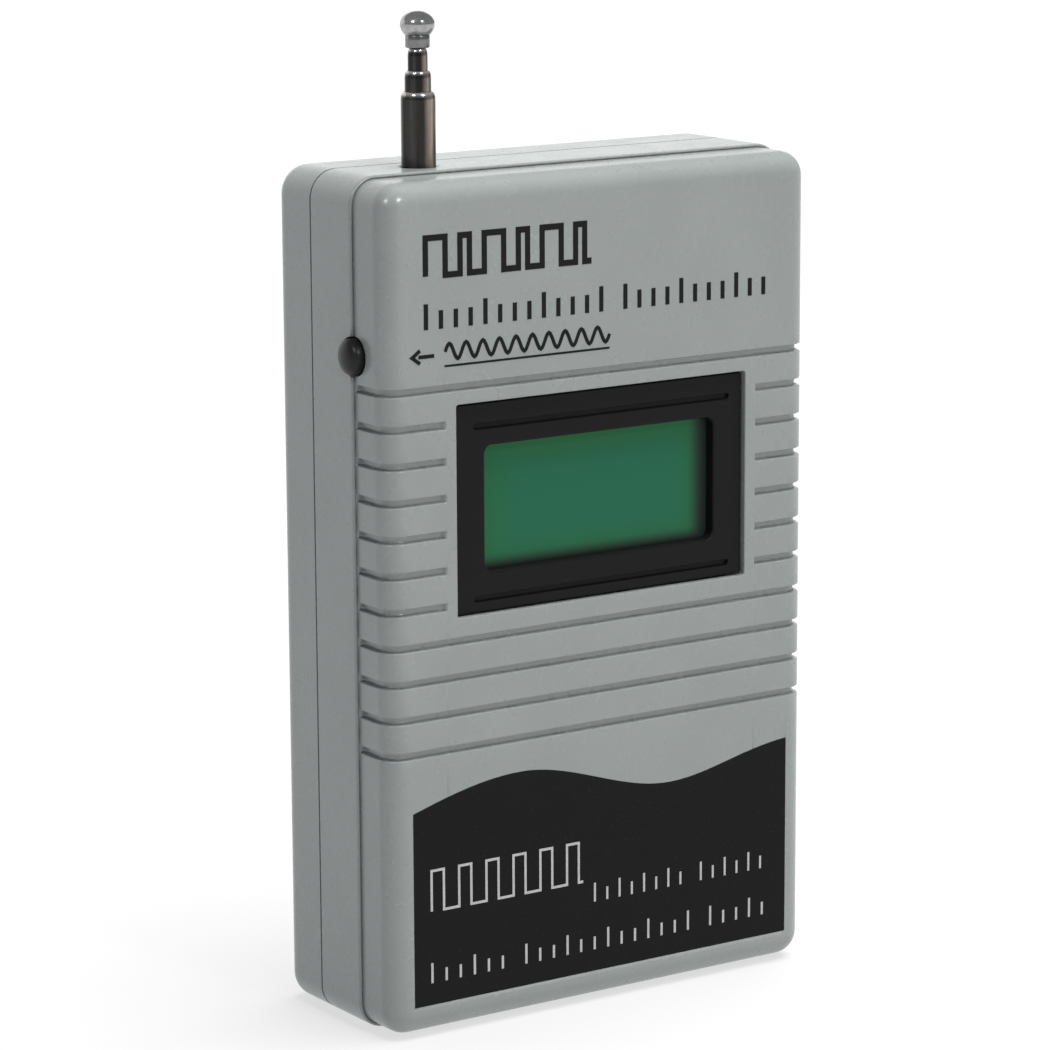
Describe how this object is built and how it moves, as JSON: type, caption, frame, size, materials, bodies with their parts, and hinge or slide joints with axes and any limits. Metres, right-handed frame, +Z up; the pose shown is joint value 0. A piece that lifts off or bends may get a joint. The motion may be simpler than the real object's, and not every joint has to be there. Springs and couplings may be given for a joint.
{
  "type": "frequency counter",
  "caption": "Pocket frequency counter: ribbed two-part plastic case, framed liquid crystal display, side push button, telescopic antenna and hinged battery door.",
  "frame": {"origin": "on the surface the case stands on, at the middle of the case's width and depth", "axes": "+X to the right seen from the front, +Y from the display face to the battery door, +Z up along the antenna"},
  "size_m": [0.0587, 0.022, 0.1119],
  "materials": {
    "case_plastic": "satin moulded ABS, light grey",
    "label_film": "matte black printed film",
    "black_plastic": "satin black moulding",
    "button_plastic": "satin black cap",
    "display_film": "green polarizer, blank",
    "display_glass": "clear",
    "contact_rubber": "layered",
    "diffuser_plastic": "milky",
    "led_plastic": "clear",
    "board_laminate": "green solder mask",
    "chip_plastic": "moulded epoxy",
    "tin_plate": "tinned",
    "trimmer_plastic": "moulded",
    "can_aluminium": "satin",
    "capacitor_tan": "fired ceramic body",
    "zinc_steel": "zinc plated",
    "antenna_nickel": "dark nickel plate",
    "collar_brass": "bare",
    "cell_can": "metal can in a printed sleeve",
    "spring_nickel": "nickel plated",
    "lead_red": "soft vinyl",
    "lead_black": "soft vinyl"
  },
  "bodies": {
    "case": {"antenna_base_tube": "antenna_nickel", "antenna_foot": "collar_brass", "antenna_screw": "zinc_steel", "back_shell": "case_plastic", "backlight_diffuser": "diffuser_plastic", "backlight_leds": "led_plastic", "battery_lead_black": "lead_black", "battery_lead_red": "lead_red", "battery_left": "cell_can", "battery_link_contact": "spring_nickel", "battery_negative_contact": "spring_nickel", "battery_positive_contact": "spring_nickel", "battery_right": "cell_can", "battery_springs": "spring_nickel", "board_screws": "zinc_steel", "case_screws": "zinc_steel", "chip_capacitors": "capacitor_tan", "chip_resistors": "chip_plastic", "crystal_can": "tin_plate", "display_driver_chip": "chip_plastic", "display_frame": "black_plastic", "electrolytic_capacitors": "can_aluminium", "front_label": "label_film", "front_shell": "case_plastic", "lcd_glass": "display_glass", "lcd_polarizer": "display_film", "main_board": "board_laminate", "microcontroller": "chip_plastic", "prescaler_chip": "chip_plastic", "rf_amplifier_chip": "chip_plastic", "rf_shield_can": "tin_plate", "switch_body": "black_plastic", "trimmer_capacitor": "trimmer_plastic", "voltage_regulator": "chip_plastic", "zebra_strips": "contact_rubber"},
    "button": {"button_cap": "button_plastic", "switch_plunger": "black_plastic"},
    "antenna_second": {"antenna_second_tube": "antenna_nickel", "antenna_second_collar": "collar_brass"},
    "antenna_third": {"antenna_third_tube": "antenna_nickel", "antenna_third_collar": "collar_brass"},
    "antenna_tip": {"antenna_tip_rod": "antenna_nickel", "antenna_tip_collar": "collar_brass", "antenna_tip_cap": "antenna_nickel"},
    "door": {"battery_door": "case_plastic"}
  },
  "joints": [
    {"name": "button_press", "type": "slide", "parent": "case", "child": "button", "axis": [1, 0, 0], "range_m": [0, 0.00035], "stiffness_N_per_m": 300},
    {"name": "antenna_second_slide", "type": "slide", "parent": "case", "child": "antenna_second", "axis": [0, 0, 1], "range_m": [0, 0.058]},
    {"name": "antenna_third_slide", "type": "slide", "parent": "antenna_second", "child": "antenna_third", "axis": [0, 0, 1], "range_m": [0, 0.058]},
    {"name": "antenna_tip_slide", "type": "slide", "parent": "antenna_third", "child": "antenna_tip", "axis": [0, 0, 1], "range_m": [0, 0.058]},
    {"name": "battery_door_hinge", "type": "hinge", "parent": "case", "child": "door", "pos_m": [0, 0.0101, 0.0048], "axis": [-1, 0, 0], "range_deg": [0, 75]}
  ]
}
